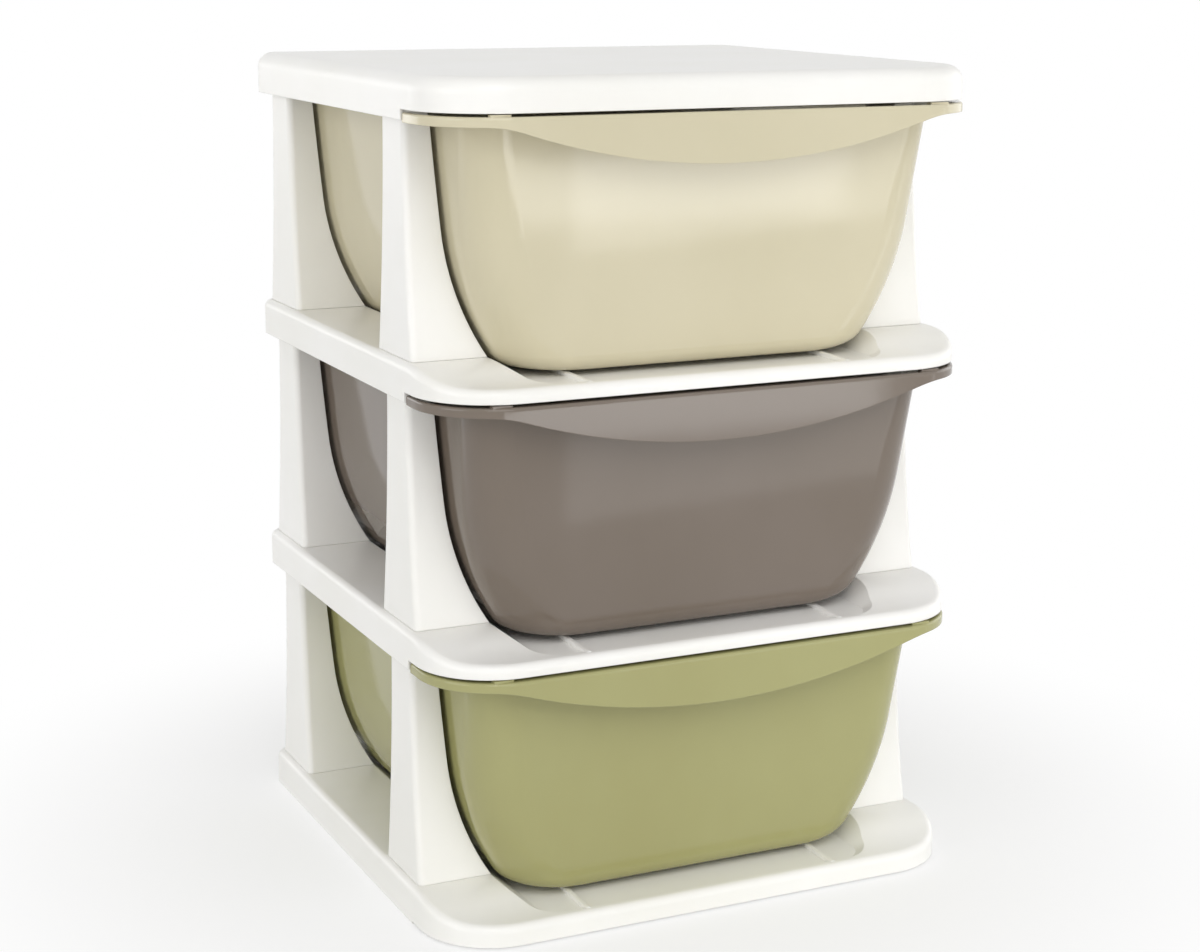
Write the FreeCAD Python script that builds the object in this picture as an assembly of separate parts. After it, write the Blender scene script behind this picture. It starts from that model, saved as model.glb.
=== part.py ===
import FreeCAD, Part
import math
import os

from FreeCAD import Vector

# Three-tier storage tower with pull-out bins, in millimetres.
# X runs across the front, the front faces -Y, +Z is up, the origin is under the middle of the unit.

# Whole unit
unit_width = 410.0
tray_depth = 386.0
tier_pitch = 185.0
tier_names = ("bottom", "middle", "top")
tray_names = ("base_tray", "lower_shelf", "upper_shelf")

# Trays: the base and the two shelves
tray_wall = 2.5
seat_height = 26.0
border_height = 16.5
tray_edge_radius = 5.5
front_corner_radius = 55.0
rear_corner_radius = 13.0
bumper_depth = 68.0
pad_margin = 4.0
front_ramp_length = 58.0
shelf_front_gap = 7.0
base_front_gap = 1.5

# Bay of a tray, with its two runner ribs
bay_floor_height = 14.0
bay_wall_run = 16.0
bay_front_border = 12.0
bay_rear_border = 15.0
bay_corner_radius = 20.0
rib_width = 4.0
rib_height = 3.0
rib_edge_radius = 1.0
rib_inset = 77.0
rib_run_on = 5.0

# Top panel
top_height = 30.0
top_edge_radius = 11.0

# Posts
post_wall = 2.5
post_web_width = 18.5
post_side_flare = 2.0
post_top_depth = 40.0
post_front_flare = 17.0
post_rear_flare = 9.0
post_corner_radius = 4.5
post_foot_radius = 0.8
post_rear_border = 9.0
tenon_depth = 12.0
fit_clearance = 0.2

# Bins
bin_wall = 2.2
bin_side_gap = 4.0
bin_lean = math.radians(4.3)
bin_side_radius = 180.0
bin_floor_radius = 24.0
bin_radius_change = math.radians(32.0)
bin_end_lean = math.radians(5.5)
bin_front_reach = 50.0
bin_rear_border = 7.0
bin_rim_corner_radius = 26.0
bin_floor_corner_radius = 40.0
bin_rear_corner_radius = 14.0
rim_width = 2.0
rim_height = 5.0
slide_clearance = 0.3

# Front lip of a bin, which is also its handle
lip_overhang = 3.0
lip_side_inset = 1.0
lip_wall = 2.4
lip_end_depth = 6.5
lip_middle_depth = 34.0
lip_end_width = 32.0
lip_blend_radius = 80.0
lip_edge_radius = 2.0
lip_gap = 2.0
notch_gap = 1.0
nub_length = 14.0
nub_width = 5.0
nub_height = 1.4
nub_side_inset = 42.5
nub_inset = 4.4

# One overrun serves all cuts, and faces closer than a touch count as the same
overrun = 5.0
touch = 0.001

# Sections in each turned stretch of a bin
tub_steps = 6

# Places that follow from the sizes above
half_width = unit_width / 2
rear_y = (tray_depth + lip_overhang) / 2
front_y = rear_y - tray_depth
post_y = front_y + bumper_depth
post_height = tier_pitch - tray_wall
foot_depth = post_front_flare + post_top_depth + post_rear_flare
post_foot_outer = half_width - tray_edge_radius
post_top_outer = post_foot_outer - post_side_flare
bin_floor_height = bay_floor_height + rib_height + slide_clearance
bin_height = tier_pitch + shelf_front_gap - lip_gap - bin_floor_height
rim_half = post_top_outer - post_web_width - bin_side_gap
bin_front_y = post_y - bin_front_reach
bin_rear_y = rear_y - bin_rear_border
post_feet_y = (post_y, rear_y - post_rear_border - foot_depth)


def arc(start, through, end):
    return Part.Arc(start, through, end).toShape()


def line(start, end):
    return Part.LineSegment(start, end).toShape()


def face_of(edges):
    return Part.Face(Part.Wire(edges))


def box(x_range, y_range, z_range):
    size = [high - low for low, high in (x_range, y_range, z_range)]
    return Part.makeBox(*size, Vector(x_range[0], y_range[0], z_range[0]))


# A closed rounded rectangle at one height, the same about X = 0
def rounded_wire(half, front, rear, front_radius, rear_radius, height):
    corners = (
        (-half, front, front_radius, 1, 1),
        (half, front, front_radius, -1, 1),
        (half, rear, rear_radius, -1, -1),
        (-half, rear, rear_radius, 1, -1),
    )
    stops = []
    for x, y, radius, to_x, to_y in corners:
        centre = Vector(x + to_x * radius, y + to_y * radius, height)
        on_side = Vector(x, centre.y, height)
        on_end = Vector(centre.x, y, height)
        middle = centre + Vector(-to_x, -to_y, 0).normalize() * radius
        ends = (on_side, on_end) if to_x * to_y > 0 else (on_end, on_side)
        stops.append((ends[0], middle, ends[1]))
    edges = []
    for index, (start, middle, end) in enumerate(stops):
        edges.append(arc(start, middle, end))
        edges.append(line(end, stops[(index + 1) % len(stops)][0]))
    return Part.Wire(edges)


def plan_prism(inset, low, high):
    wire = rounded_wire(
        half_width - inset,
        front_y + inset,
        rear_y - inset,
        front_corner_radius - inset,
        rear_corner_radius - inset,
        low,
    )
    return Part.Face(wire).extrude(Vector(0, 0, high - low))


# Edges of a moulding that lie on its plan outline, above a height, and are not upright
def outline_edges(shape, inset, above):
    outline = plan_prism(inset, 0, overrun).Faces
    walls = Part.Compound([face for face in outline if face.BoundBox.ZLength > touch])
    found = []
    for edge in shape.Edges:
        middle = edge.valueAt((edge.FirstParameter + edge.LastParameter) / 2)
        upright = edge.BoundBox.XLength < touch and edge.BoundBox.YLength < touch
        if upright or middle.z < above:
            continue
        flat = Part.Vertex(middle.x, middle.y, overrun / 2)
        if flat.distToShape(walls)[0] < touch:
            found.append(edge)
    return found


# Two equal arcs that join two levels, level at both ends, in the YZ plane
def ramp(start_y, start_z, end_y, end_z):
    run = end_y - start_y
    rise = end_z - start_z
    radius = (run * run + rise * rise) / (4 * abs(rise))
    half_turn = math.asin(abs(run) / 2 / radius) / 2
    along = math.copysign(radius * math.sin(half_turn), run)
    up = math.copysign(radius * (1 - math.cos(half_turn)), rise)
    start = Vector(0, start_y, start_z)
    end = Vector(0, end_y, end_z)
    middle = (start + end) / 2
    return [
        arc(start, start + Vector(0, along, up), middle),
        arc(middle, end - Vector(0, along, up), end),
    ]


# Tray body before its bay is cut: level where the posts stand, then a ramp down to the front border
def tray_block(inset, bottom):
    seat = seat_height - inset
    border = border_height - inset
    pad_end = post_feet_y[0] - pad_margin
    border_start = pad_end - front_ramp_length
    rear_end = rear_y + overrun
    front_end = front_y - overrun
    edges = [line(Vector(0, rear_end, bottom), Vector(0, rear_end, seat))]
    edges.append(line(Vector(0, rear_end, seat), Vector(0, pad_end, seat)))
    edges += ramp(pad_end, seat, border_start, border)
    edges.append(line(Vector(0, border_start, border), Vector(0, front_end, border)))
    edges.append(line(Vector(0, front_end, border), Vector(0, front_end, bottom)))
    edges.append(line(Vector(0, front_end, bottom), Vector(0, rear_end, bottom)))
    profile = face_of(edges)
    profile.translate(Vector(-half_width - overrun, 0, 0))
    slab = profile.extrude(Vector(2 * (half_width + overrun), 0, 0))
    block = slab.common(plan_prism(inset, bottom - overrun, seat_height + overrun))
    edges = outline_edges(block, inset, border / 2)
    return block.makeFillet(tray_edge_radius - inset, edges)


# Side wall of a bin: it leans in from the rim, then turns under to the floor through two arcs.
# A place on it is its distance out from the rim and its height above the bin's underside.
low_join = bin_floor_radius * (1 - math.sin(bin_radius_change))
high_join = low_join + bin_side_radius * (math.sin(bin_radius_change) - math.sin(bin_lean))
side_centre_z = high_join + bin_side_radius * math.sin(bin_lean)
side_centre_out = (high_join - bin_height) * math.tan(bin_lean) - bin_side_radius * math.cos(bin_lean)
floor_centre_out = side_centre_out + (bin_side_radius - bin_floor_radius) * math.cos(bin_radius_change)


# Place where the wall, grown by an offset, has turned by an angle from upright
def wall_at_turn(turn, offset):
    if turn <= bin_radius_change:
        radius = bin_side_radius + offset
        return side_centre_out + radius * math.cos(turn), side_centre_z - radius * math.sin(turn)
    radius = bin_floor_radius + offset
    return floor_centre_out + radius * math.cos(turn), bin_floor_radius - radius * math.sin(turn)


# Place on the straight upper stretch of the wall at a height
def wall_at_height(height, offset):
    return (height - bin_height) * math.tan(bin_lean) + offset / math.cos(bin_lean), height


# Distance out at a height within the two arcs
def wall_out_below(height, offset):
    if height >= wall_at_turn(bin_radius_change, offset)[1]:
        radius = bin_side_radius + offset
        return side_centre_out + math.sqrt(radius ** 2 - (side_centre_z - height) ** 2)
    radius = bin_floor_radius + offset
    return floor_centre_out + math.sqrt(radius ** 2 - (bin_floor_radius - height) ** 2)


# Front and rear walls of a bin: they stay straight down to where the sides reach their lower arc
end_floor_radius = low_join / (1 - math.sin(bin_end_lean))
end_join_out = (low_join - bin_height) * math.tan(bin_end_lean)
end_centre_out = end_join_out - end_floor_radius * math.cos(bin_end_lean)


# Distance out of a front or rear wall at a height
def end_out(height, offset):
    radius = end_floor_radius + offset
    if height >= end_floor_radius - radius * math.sin(bin_end_lean):
        return (height - bin_height) * math.tan(bin_end_lean) + offset / math.cos(bin_end_lean)
    return end_centre_out + math.sqrt(max(0, radius ** 2 - (end_floor_radius - height) ** 2))


# Half width of a tray's bay at its pads: it starts where the foot of a post ends
bay_half = rim_half + wall_out_below(seat_height - bin_floor_height, bin_side_gap)


def mirror_x(point):
    return Vector(-point.x, point.y, point.z)


# Space that a bin sweeps as it slides, grown by a clearance, at tray heights
def bin_path(clearance):
    places = [wall_at_height(bin_height + seat_height + overrun, clearance)]
    places.append(wall_at_turn(bin_lean, clearance))
    for start, end in ((bin_lean, bin_radius_change), (bin_radius_change, math.pi / 2)):
        places.append(wall_at_turn((start + end) / 2, clearance))
        places.append(wall_at_turn(end, clearance))
    right = [Vector(rim_half + out, 0, bin_floor_height + up) for out, up in places]
    edges = []
    for stops in (right, [mirror_x(point) for point in right]):
        edges += [line(stops[0], stops[1]), arc(*stops[1:4]), arc(*stops[3:6])]
    edges += [line(mirror_x(end), end) for end in (right[0], right[-1])]
    face = face_of(Part.__sortEdges__(edges))
    face.translate(Vector(0, front_y - overrun, 0))
    return face.extrude(Vector(0, tray_depth + 2 * overrun, 0))


# Bay of a tray with sloping walls, grown by a wall when it is taken off the hollow underside
def bay(grow):
    slope = bay_wall_run / (seat_height - bay_floor_height)
    wall = grow * math.hypot(1, slope)
    rows = []
    for height in (bay_floor_height - grow, seat_height + overrun):
        spread = wall + (height - seat_height) * slope
        rows.append(
            rounded_wire(
                bay_half + spread,
                front_y + bay_front_border - spread - bay_wall_run,
                rear_y - bay_rear_border + spread,
                bay_corner_radius + grow,
                bay_corner_radius + grow,
                height,
            )
        )
    return Part.makeLoft(rows, True, True)


# The plug under a post and the spigots under the top panel are one size, and fit the top of a post
def plug(side, foot_y, low, high, clearance):
    outer = post_top_outer - post_wall - fit_clearance + clearance
    inner = post_top_outer - post_web_width + post_wall - clearance
    front = foot_y + post_front_flare + post_wall + fit_clearance - clearance
    rear = foot_y + post_front_flare + post_top_depth - post_wall - fit_clearance + clearance
    shape = box((inner, outer), (front, rear), (low, high))
    corners = [edge for edge in shape.Edges if edge.BoundBox.XMin > outer - touch]
    upright = [edge for edge in corners if edge.BoundBox.YLength < touch]
    shape = shape.makeFillet(post_corner_radius - post_wall, upright)
    return shape if side > 0 else shape.mirror(Vector(0, 0, 0), Vector(1, 0, 0))


def rib(side):
    middle = side * (rim_half - rib_inset)
    x_range = (middle - rib_width / 2, middle + rib_width / 2)
    y_range = (front_y + bay_front_border - rib_run_on, rear_y - bay_rear_border - bay_wall_run)
    shape = box(x_range, y_range, (bay_floor_height - tray_wall / 2, bay_floor_height + rib_height))
    top = [
        edge
        for edge in shape.Edges
        if edge.BoundBox.ZMin > bay_floor_height and edge.BoundBox.YLength > rib_width
    ]
    return shape.makeFillet(rib_edge_radius, top)


def front_notch(gap):
    return box((-half_width - overrun, half_width + overrun), (front_y - overrun, post_y), (-overrun, gap))


def tray(front_gap):
    outside = tray_block(0, 0).cut(bay(0))
    hollow = tray_block(tray_wall, -overrun).cut(bay(tray_wall))
    shape = outside.cut(hollow)
    shape = shape.fuse([rib(side) for side in (-1, 1)])
    cuts = [front_notch(front_gap)]
    for foot_y in post_feet_y:
        for side in (-1, 1):
            cuts.append(plug(side, foot_y, 0, seat_height + overrun, fit_clearance))
    return shape.cut(cuts).removeSplitter()


def top_panel():
    outside = plan_prism(0, 0, top_height)
    outside = outside.makeFillet(top_edge_radius, outline_edges(outside, 0, top_height / 2))
    hollow = plan_prism(tray_wall, -overrun, top_height - tray_wall)
    inner_edges = outline_edges(hollow, tray_wall, top_height / 2)
    shape = outside.cut(hollow.makeFillet(top_edge_radius - tray_wall, inner_edges))
    stop = seat_height - tray_wall
    under = top_height - tray_wall / 2
    bosses = []
    for foot_y in post_feet_y:
        for side in (-1, 1):
            x_range = sorted((side * (post_top_outer - post_web_width), side * post_top_outer))
            y_start = foot_y + post_front_flare
            bosses.append(box(x_range, (y_start, y_start + post_top_depth), (stop, under)))
            bosses.append(plug(side, foot_y, seat_height - tenon_depth, under, 0))
    return shape.fuse(bosses).cut(front_notch(shelf_front_gap)).removeSplitter()


# A curve that leaves the top of a post upright and flares out by the foot
def flare(top, foot):
    reach = foot.sub(top)
    sideways = Vector(reach.x, reach.y, 0)
    radius = (sideways.Length ** 2 + post_height ** 2) / (2 * sideways.Length)
    half_turn = math.asin(post_height / radius) / 2
    out = sideways.normalize() * (radius * (1 - math.cos(half_turn)))
    return arc(top, top + out - Vector(0, 0, radius * math.sin(half_turn)), foot)


# Outside of a right-hand post with its foot at height 0, or its hollow when set in by the wall
def post_block(inset):
    top_z = Vector(0, 0, post_height)
    front_foot = Vector(0, inset, 0)
    front_top = Vector(0, post_front_flare + inset, 0) + top_z
    rear_foot = Vector(0, foot_depth - inset, 0)
    rear_top = Vector(0, post_front_flare + post_top_depth - inset, 0) + top_z
    sides = [flare(front_top, front_foot), flare(rear_top, rear_foot)]
    side_view = face_of(
        Part.__sortEdges__(sides + [line(front_foot, rear_foot), line(front_top, rear_top)])
    )
    outer_foot = Vector(post_foot_outer - inset, 0, 0)
    outer_top = Vector(post_top_outer - inset, 0, 0) + top_z
    inner_foot = Vector(bay_half - overrun, 0, 0)
    inner_top = inner_foot + top_z
    rails = [line(outer_foot, inner_foot), line(inner_foot, inner_top), line(inner_top, outer_top)]
    front_view = face_of(Part.__sortEdges__([flare(outer_top, outer_foot)] + rails))
    front_view.translate(Vector(0, -overrun, 0))
    depth = front_view.extrude(Vector(0, foot_depth + 2 * overrun, 0))
    width = side_view.extrude(Vector(half_width + overrun, 0, 0))
    shape = width.common(depth)
    edges = [
        edge
        for edge in shape.Edges
        if edge.BoundBox.ZLength > post_height / 2 and edge.BoundBox.XMin > rim_half
    ]
    return shape.makeFillet(post_corner_radius - inset, edges)


def post(side, foot_y):
    hollow = post_block(post_wall)
    hollow = hollow.cut(box((0, half_width), (-overrun, foot_depth + overrun), (0, post_wall)))
    block = post_block(0)
    foot = [
        edge
        for edge in block.Edges
        if edge.BoundBox.ZMax < touch and edge.BoundBox.XMax > rim_half
    ]
    shape = block.makeFillet(post_foot_radius, foot).cut(hollow)
    shape.translate(Vector(0, foot_y, seat_height))
    shape = shape.cut(bin_path(bin_side_gap))
    shape = shape.fuse(plug(1, foot_y, seat_height - tenon_depth, seat_height + post_wall / 2, 0))
    shape = shape.removeSplitter()
    return shape if side > 0 else shape.mirror(Vector(0, 0, 0), Vector(1, 0, 0))


# Level section of a tub at a place on its side wall; its front corners grow rounder towards the floor
def tub_row(out, height, offset):
    rim_share = height / bin_height
    front_radius = bin_floor_corner_radius + (bin_rim_corner_radius - bin_floor_corner_radius) * rim_share
    return rounded_wire(
        rim_half + out,
        bin_front_y - end_out(height, offset),
        bin_rear_y + end_out(height, offset),
        front_radius + offset,
        bin_rear_corner_radius + offset,
        height,
    )


# Tub of a bin, grown by an offset: two turned stretches and a straight one up to a height
def tub(offset, top):
    stretches = []
    for start, end in ((math.pi / 2, bin_radius_change), (bin_radius_change, bin_lean)):
        turns = [start + (end - start) * step / tub_steps for step in range(tub_steps + 1)]
        rows = [tub_row(*wall_at_turn(turn, offset), offset) for turn in turns]
        stretches.append(Part.makeLoft(rows, True, False))
    ends = (wall_at_turn(bin_lean, offset), wall_at_height(top, offset))
    stretches.append(Part.makeLoft([tub_row(*place, offset) for place in ends], True, True))
    return stretches[0].fuse(stretches[1:])


# Region in front of the posts that the lip covers, seen from above
def lip_block(inset, low, high):
    wire = rounded_wire(
        half_width - lip_side_inset - inset,
        front_y - lip_overhang + inset,
        rear_y,
        front_corner_radius - inset,
        rear_corner_radius,
        low,
    )
    shape = Part.Face(wire).extrude(Vector(0, 0, high - low))
    y_range = (front_y - lip_overhang - overrun, post_y - notch_gap)
    return shape.common(box((-half_width, half_width), y_range, (low, high)))


# What hangs below the lip's lower edge: level ends, then one long bow with blended ends
def smile_cut(top):
    sag = lip_middle_depth - lip_end_depth
    level = top - lip_end_depth
    start = half_width - lip_end_width
    bow_radius = (start * start / sag + sag) / 2 - lip_blend_radius
    bow_z = level - sag + bow_radius
    blend_z = level - lip_blend_radius
    turn = math.asin(start / (bow_radius + lip_blend_radius))
    low = top - lip_middle_depth - overrun
    below = Vector(half_width + overrun, 0, low)
    outside = Vector(half_width + overrun, 0, level)
    begin = Vector(start, 0, level)
    blend_x = start - lip_blend_radius * math.sin(turn / 2)
    blend = Vector(blend_x, 0, blend_z + lip_blend_radius * math.cos(turn / 2))
    join = Vector(bow_radius * math.sin(turn), 0, bow_z - bow_radius * math.cos(turn))
    right = (below, outside, begin, blend, join)
    edges = [arc(mirror_x(join), Vector(0, 0, bow_z - bow_radius), join), line(mirror_x(below), below)]
    for stops in (right, [mirror_x(point) for point in right]):
        edges += [line(stops[0], stops[1]), line(stops[1], stops[2]), arc(*stops[2:])]
    face = face_of(Part.__sortEdges__(edges))
    face.translate(Vector(0, front_y - lip_overhang - overrun, 0))
    return face.extrude(Vector(0, bumper_depth + lip_overhang + overrun, 0))


def lip():
    low = bin_height - lip_middle_depth - overrun
    outside = lip_block(0, low, bin_height)
    back = post_y - notch_gap
    top_edges = [
        edge
        for edge in outside.Edges
        if edge.BoundBox.ZMin > bin_height - touch and edge.BoundBox.YMin < back - touch
    ]
    outside = outside.makeFillet(lip_edge_radius, top_edges)
    hollow = lip_block(lip_wall, low - overrun, bin_height - lip_wall)
    shape = outside.cut([hollow, smile_cut(bin_height)])
    y_start = front_y - lip_overhang + nub_inset
    y_range = (y_start, y_start + nub_width)
    z_range = (bin_height - lip_wall / 2, bin_height + nub_height)
    nubs = []
    for side in (-1, 1):
        middle = side * (half_width - nub_side_inset)
        nubs.append(box((middle - nub_length / 2, middle + nub_length / 2), y_range, z_range))
    return shape.fuse(nubs)


def rim():
    wire = rounded_wire(
        rim_half + rim_width,
        bin_front_y - rim_width,
        bin_rear_y + rim_width,
        bin_rim_corner_radius + rim_width,
        bin_rear_corner_radius + rim_width,
        bin_height - rim_height,
    )
    return Part.Face(wire).extrude(Vector(0, 0, rim_height))


# A bin with its underside at height 0
def pull_out_bin():
    shape = tub(0, bin_height).fuse([rim(), lip()])
    return shape.cut(tub(-bin_wall, bin_height + overrun)).removeSplitter()


def save(shape, name, height):
    placed = shape.copy()
    placed.translate(Vector(0, 0, height))
    placed.exportStep(os.path.join("parts", name + ".step"))
    print(name, placed.isValid(), len(placed.Solids), round(placed.Volume))


def main():
    os.makedirs("parts", exist_ok=True)
    base = tray(base_front_gap)
    shelf = tray(shelf_front_gap)
    full_bin = pull_out_bin()
    posts = {}
    for end, foot_y in zip(("front", "rear"), post_feet_y):
        for hand, side in (("left", -1), ("right", 1)):
            posts[end + "_" + hand] = post(side, foot_y)
    for tier, name in enumerate(tier_names):
        floor = tier * tier_pitch
        save(base if tier == 0 else shelf, tray_names[tier], floor)
        save(full_bin, name + "_bin", floor + bin_floor_height)
        for place, shape in posts.items():
            save(shape, name + "_post_" + place, floor)
    save(top_panel(), "top_panel", len(tier_names) * tier_pitch)


main()
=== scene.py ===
import math

import bpy
from mathutils import Matrix, Quaternion, Vector


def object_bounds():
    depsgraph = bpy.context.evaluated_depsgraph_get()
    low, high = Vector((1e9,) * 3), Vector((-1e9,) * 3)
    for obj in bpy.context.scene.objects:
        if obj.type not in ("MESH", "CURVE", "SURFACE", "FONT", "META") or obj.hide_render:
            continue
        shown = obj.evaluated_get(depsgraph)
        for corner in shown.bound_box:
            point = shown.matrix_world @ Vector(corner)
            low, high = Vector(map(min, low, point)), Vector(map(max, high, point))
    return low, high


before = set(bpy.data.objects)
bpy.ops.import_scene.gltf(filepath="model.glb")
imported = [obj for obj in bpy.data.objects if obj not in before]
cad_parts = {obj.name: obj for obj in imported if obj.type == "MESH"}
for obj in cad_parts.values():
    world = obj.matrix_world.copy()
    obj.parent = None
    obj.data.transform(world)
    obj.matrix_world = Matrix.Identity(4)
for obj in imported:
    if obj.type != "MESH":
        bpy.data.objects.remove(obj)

cadLow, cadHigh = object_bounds()


# a socket that can be used in sums: every operator adds one Math node
class Wire:
    def __init__(self, bench, socket):
        self.bench = bench
        self.socket = socket

    def maths(self, operation, *terms):
        return self.bench.add("ShaderNodeMath", {"operation": operation}, dict(enumerate(terms)))

    def __add__(self, other):
        return self.maths("ADD", self, other)

    def __radd__(self, other):
        return self.maths("ADD", other, self)

    def __sub__(self, other):
        return self.maths("SUBTRACT", self, other)

    def __rsub__(self, other):
        return self.maths("SUBTRACT", other, self)

    def __mul__(self, other):
        return self.maths("MULTIPLY", self, other)

    def __rmul__(self, other):
        return self.maths("MULTIPLY", other, self)

    def atLeast(self, other):
        return self.maths("MAXIMUM", self, other)


# a node tree and the one way that nodes get into it
class Bench:
    def __init__(self, owner):
        owner.use_nodes = True
        self.tree = owner.node_tree
        self.tree.nodes.clear()

    def add(self, kind, settings=None, sockets=None, output=0):
        node = self.tree.nodes.new(kind)
        for name, value in (settings or {}).items():
            setattr(node, name, value)
        for name, value in (sockets or {}).items():
            if isinstance(value, Wire):
                self.tree.links.new(value.socket, node.inputs[name])
            else:
                node.inputs[name].default_value = value
        return Wire(self, node.outputs[output]) if len(node.outputs) else None

    # a noise with its own scale along each axis, in features per metre
    def noise(self, place, perMetre, detail, roughness):
        sized = self.add("ShaderNodeVectorMath", {"operation": "MULTIPLY"}, {0: place, 1: perMetre})
        return self.add(
            "ShaderNodeTexNoise",
            {"noise_dimensions": "3D"},
            {"Vector": sized, "Scale": 1.0, "Detail": detail, "Roughness": roughness},
        )

    # 0 to 1 between two values
    def fade(self, value, start, end):
        return self.add(
            "ShaderNodeMapRange",
            {"interpolation_type": "SMOOTHSTEP", "clamp": True},
            {"Value": value, "From Min": start, "From Max": end, "To Min": 0.0, "To Max": 1.0},
        )

    # inputs 6 and 7 of a Mix node are its colours, and output 2 is the mixed one
    def mixColours(self, factor, first, second):
        return self.add(
            "ShaderNodeMix",
            {"data_type": "RGBA", "blend_type": "MIX"},
            {0: factor, 6: first, 7: second},
            output=2,
        )


# the sRGB curve, from a written colour to linear light
srgbCurve = {"knee": 0.04045, "slope": 12.92, "offset": 0.055, "power": 2.4}


def toLinear(share):
    if share <= srgbCurve["knee"]:
        return share / srgbCurve["slope"]
    return ((share + srgbCurve["offset"]) / (1 + srgbCurve["offset"])) ** srgbCurve["power"]


def fromHex(text):
    shares = [int(text[at:at + 2], 16) / 255 for at in (1, 3, 5)]
    return (*map(toLinear, shares), 1.0)


# Moulded polypropylene
plasticBase = {
    "edgeRadius": 0.0009,      # rounding that the tool leaves on a moulding's edges
    "edgeSamples": 6,
    "edgeTurn": (0.01, 0.22),  # 1 - cosine of the turn where an edge starts and is full
    "drift": {"perMetre": (7.0, 7.0, 5.0), "detail": 3.0, "roughness": 0.55},
    "driftFade": (0.3, 0.7),
    "driftMiddle": 0.5,
    "peel": {"perMetre": (55.0, 55.0, 40.0), "detail": 1.0, "roughness": 0.55},
    "grain": {"perMetre": (1500.0, 1500.0, 1500.0), "detail": 1.0, "roughness": 0.55},
    "ior": 1.49,
    "glowRadius": (0.004, 0.0036, 0.003),  # how far red, green and blue spread inside
}


def mouldedPlastic(name, finish):
    material = bpy.data.materials.new(name)
    bench = Bench(material)
    place = bench.add("ShaderNodeTexCoord", output="Object")
    trueNormal = bench.add("ShaderNodeNewGeometry", output="Normal")
    rounded = bench.add(
        "ShaderNodeBevel", {"samples": plasticBase["edgeSamples"]}, {"Radius": plasticBase["edgeRadius"]}
    )

    # where the rounding turns the surface: 0 on flats, 1 along an edge
    turned = bench.add(
        "ShaderNodeVectorMath",
        {"operation": "DOT_PRODUCT"},
        {0: trueNormal, 1: rounded},
        output="Value",
    )
    edge = bench.fade(1 - turned, *plasticBase["edgeTurn"])

    drift = bench.noise(place, **plasticBase["drift"])
    peel = bench.noise(place, **plasticBase["peel"])
    grain = bench.noise(place, **plasticBase["grain"])

    tone = bench.fade(drift, *plasticBase["driftFade"])
    colour = bench.mixColours(tone, fromHex(finish["deep"]), fromHex(finish["colour"]))
    colour = bench.mixColours(edge * finish["edgeLight"], colour, fromHex(finish["edge"]))

    roughness = finish["roughness"] + (drift - plasticBase["driftMiddle"]) * finish["roughnessDrift"]
    roughness = roughness - edge * finish["edgePolish"]

    # heights are in metres, so the bump keeps them as they are
    height = peel * finish["peelHeight"] + grain * finish["grainHeight"]
    bump = bench.add(
        "ShaderNodeBump",
        None,
        {"Strength": 1.0, "Distance": 1.0, "Height": height, "Normal": rounded},
    )
    surface = bench.add(
        "ShaderNodeBsdfPrincipled",
        {"subsurface_method": "BURLEY"},
        {
            "Base Color": colour,
            "Roughness": roughness,
            "Normal": bump,
            "IOR": plasticBase["ior"],
            "Subsurface Weight": finish["glow"],
            "Subsurface Radius": plasticBase["glowRadius"],
            "Subsurface Scale": 1.0,
        },
    )
    bench.add("ShaderNodeOutputMaterial", None, {"Surface": surface})
    return material


# White shell: trays, posts and top panel
whiteShell = {
    "colour": "#F6F5F2",
    "deep": "#F2F1EC",
    "edge": "#F9F8F6",
    "edgeLight": 0.5,
    "roughness": 0.30,
    "roughnessDrift": 0.10,
    "edgePolish": 0.04,
    "peelHeight": 0.00008,
    "grainHeight": 0.000006,
    "glow": 0.10,
}

# Bins, from the top tier down
binFinishes = {
    "top_bin": {"colour": "#D1C9AD", "deep": "#CCC4A7", "edge": "#DAD2BA"},
    "middle_bin": {"colour": "#776C62", "deep": "#73685D", "edge": "#857A6F"},
    "bottom_bin": {"colour": "#A5A370", "deep": "#A19E6A", "edge": "#B0AE80"},
}
binGloss = {
    "edgeLight": 0.6,
    "roughness": 0.08,
    "roughnessDrift": 0.03,
    "edgePolish": 0.02,
    "peelHeight": 0.000025,
    "grainHeight": 0.0000015,
    "glow": 0.05,
}


def dressNode(node, material):
    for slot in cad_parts[node].material_slots:
        slot.material = material


shellPlastic = mouldedPlastic("whiteShell", whiteShell)
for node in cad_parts:
    if node in binFinishes:
        dressNode(node, mouldedPlastic(node + "Plastic", {**binGloss, **binFinishes[node]}))
    else:
        dressNode(node, shellPlastic)
print("finishes:", 1 + len(binFinishes), "plastics")


# 1 where the camera, a reflection or a clear body looks at the backdrop
def seenDirectly(bench):
    byCamera = bench.add("ShaderNodeLightPath", output="Is Camera Ray")
    byGloss = bench.add("ShaderNodeLightPath", output="Is Glossy Ray")
    throughClear = bench.add("ShaderNodeLightPath", output="Is Transmission Ray")
    return byCamera.atLeast(byGloss).atLeast(throughClear)


# Floor: keeps the shadow near the unit and fades to plain white further out
floorPad = {
    "reach": 6.0,
    "whiteFrom": 0.22,
    "whiteBy": 0.60,
    "shadowShare": 0.45,
    "colour": "#FAFAF9",
    "white": "#FFFFFF",
}


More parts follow.
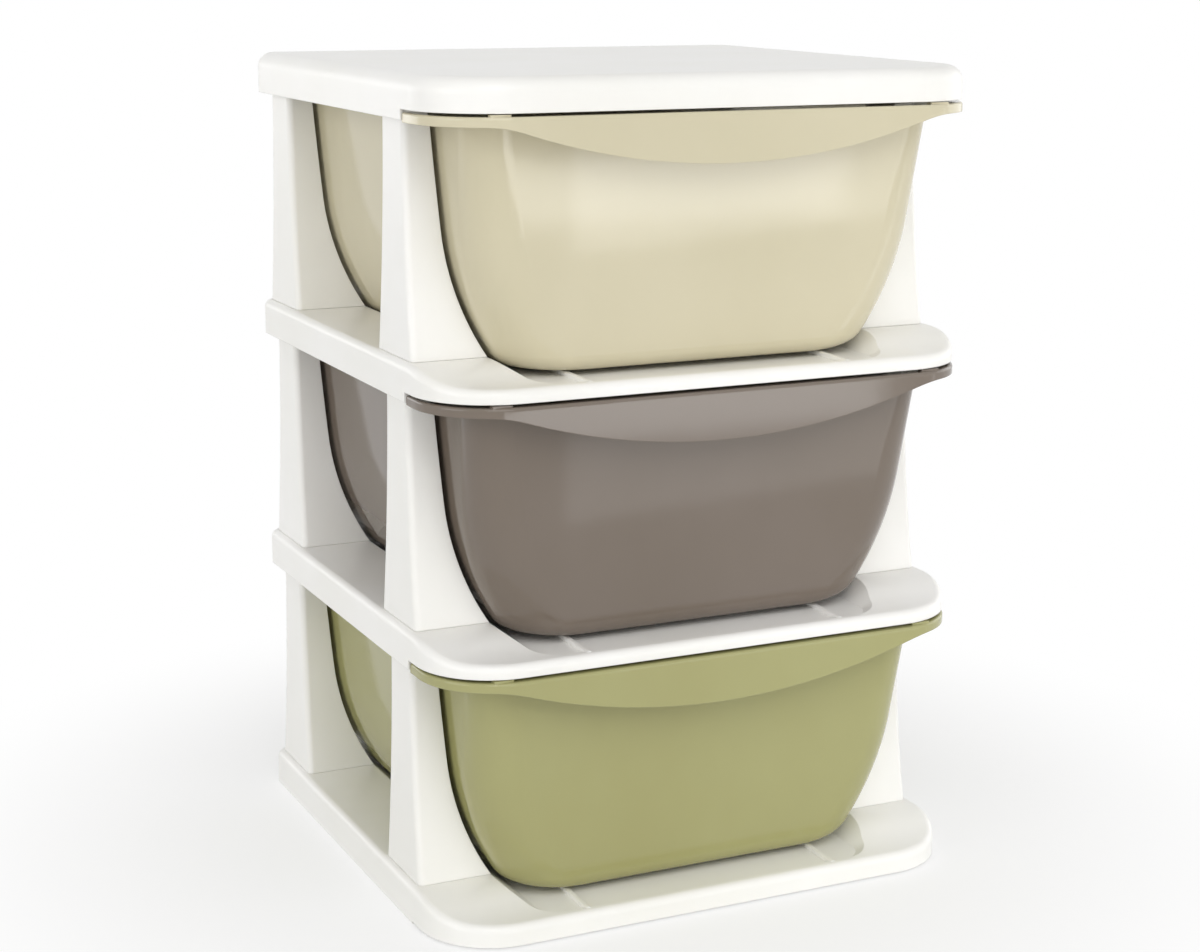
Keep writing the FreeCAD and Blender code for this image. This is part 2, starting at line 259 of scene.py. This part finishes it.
def paleFloor():
    material = bpy.data.materials.new("paleFloor")
    bench = Bench(material)
    place = bench.add("ShaderNodeTexCoord", output="Object")
    distance = bench.add("ShaderNodeVectorMath", {"operation": "LENGTH"}, {0: place}, output="Value")
    seen = seenDirectly(bench)
    near = 1 - bench.fade(distance, floorPad["whiteFrom"], floorPad["whiteBy"])
    white = (1 - near * floorPad["shadowShare"]) * seen
    matt = bench.add("ShaderNodeBsdfDiffuse", None, {"Color": fromHex(floorPad["colour"])})
    plain = bench.add("ShaderNodeEmission", None, {"Color": fromHex(floorPad["white"]), "Strength": 1.0})
    surface = bench.add("ShaderNodeMixShader", None, {0: white, 1: matt, 2: plain})
    bench.add("ShaderNodeOutputMaterial", None, {"Surface": surface})
    return material


def makeFloor():
    reach = floorPad["reach"]
    mesh = bpy.data.meshes.new("floor")
    corners = [(-reach, -reach, 0), (reach, -reach, 0), (reach, reach, 0), (-reach, reach, 0)]
    mesh.from_pydata(corners, [], [(0, 1, 2, 3)])
    mesh.materials.append(paleFloor())
    floor = bpy.data.objects.new("floor", mesh)
    bpy.context.scene.collection.objects.link(floor)


makeFloor()
print("floor: plain white from", floorPad["whiteBy"], "m out")

# Studio: a white room that is brighter towards the front, broad lamps that face the unit, strong from
# the left and the front and weak for the other sides, and low strips in front on the right that face
# straight back: the top and middle bins mirror two of them, and the middle bin's lip the third
studio = {
    "roomLevel": 0.32,
    "frontGain": 0.64,
    "straightBack": (0, 1, 0),
    "lamps": {
        "left": {"from": (-5.58, -1.18, 2.10), "size": (3.6, 3.6), "power": 86.0},
        "front": {"from": (-0.74, -4.20, 4.40), "size": (3.6, 3.6), "power": 86.0},
        "right": {"from": (4.35, 0.45, 1.05), "size": (3.6, 3.0), "power": 38.0},
        "leftRear": {"from": (-1.70, 2.40, 0.80), "size": (1.4, 1.0), "power": 8.0},
    },
    # a roll in degrees tilts a strip, as the edge of its reflection is tilted in the photo
    "strips": {
        "highStrip": {"from": (0.825, -0.70, 0.380), "size": (1.35, 0.107), "power": 0.85, "roll": 4.0},
        "lowStrip": {"from": (0.825, -0.70, 0.099), "size": (1.35, 0.093), "power": 0.38, "roll": 3.0},
        "lipStrip": {"from": (0.36, -1.60, 0.055), "size": (1.32, 0.09), "power": 1.23, "roll": 0.0},
    },
}


def makeRoom():
    world = bpy.data.worlds.new("whiteRoom")
    bpy.context.scene.world = world
    bench = Bench(world)
    direction = bench.add("ShaderNodeTexCoord", output="Generated")
    ahead = bench.add("ShaderNodeSeparateXYZ", None, {0: direction}, output="Y")
    level = studio["roomLevel"] + (0 - ahead).atLeast(0.0) * studio["frontGain"]
    seen = seenDirectly(bench)
    level = level * (1 - seen) + seen
    room = bench.add("ShaderNodeBackground", None, {"Color": level, "Strength": 1.0})
    bench.add("ShaderNodeOutputWorld", None, {"Surface": room})


def hangLamp(name, lamp, facing, roll=0.0):
    light = bpy.data.lights.new(name, "AREA")
    light.shape = "RECTANGLE"
    light.size, light.size_y = lamp["size"]
    light.energy = lamp["power"]
    holder = bpy.data.objects.new(name, light)
    holder.location = lamp["from"]
    spin = Quaternion((0, 0, 1), math.radians(roll))
    holder.rotation_euler = (facing.to_track_quat("-Z", "Y") @ spin).to_euler()
    holder.visible_camera = False
    bpy.context.scene.collection.objects.link(holder)


makeRoom()
unitMiddle = (Vector(cadLow) + Vector(cadHigh)) / 2
for name, lamp in studio["lamps"].items():
    hangLamp(name, lamp, unitMiddle - Vector(lamp["from"]))
for name, strip in studio["strips"].items():
    hangLamp(name, strip, Vector(studio["straightBack"]), strip["roll"])
print("studio:", len(studio["lamps"]), "lamps and", len(studio["strips"]), "strips")

# Camera: standpoint in metres, angles in degrees, focal length in pixels of the picture
viewpoint = {
    "standpoint": (-0.7185, -1.5097, 0.6636),
    "turn": 25.35,
    "tilt": 13.1,
    "roll": 0.25,
    "focalPixels": 2273.0,
    "pictureWidth": 1200,
}


def makeCamera():
    turn = math.radians(viewpoint["turn"])
    tilt = math.radians(viewpoint["tilt"])
    roll = math.radians(viewpoint["roll"])
    level = Vector((math.cos(turn), -math.sin(turn), 0))
    forward = Vector((math.sin(turn), math.cos(turn), 0))
    ahead = forward * math.cos(tilt) - Vector((0, 0, math.sin(tilt)))
    upright = level.cross(ahead)
    across = level * math.cos(roll) + upright * math.sin(roll)
    up = upright * math.cos(roll) - level * math.sin(roll)
    lens = bpy.data.cameras.new("photoView")
    lens.sensor_fit = "HORIZONTAL"
    lens.lens = lens.sensor_width * viewpoint["focalPixels"] / viewpoint["pictureWidth"]
    camera = bpy.data.objects.new("photoView", lens)
    facing = Matrix((across, up, -ahead)).transposed().to_4x4()
    camera.matrix_world = Matrix.Translation(viewpoint["standpoint"]) @ facing
    bpy.context.scene.collection.objects.link(camera)
    bpy.context.scene.camera = camera


makeCamera()
bpy.context.scene.view_settings.view_transform = "Standard"
print("camera: turned", viewpoint["turn"], "and tilted", viewpoint["tilt"], "degrees")
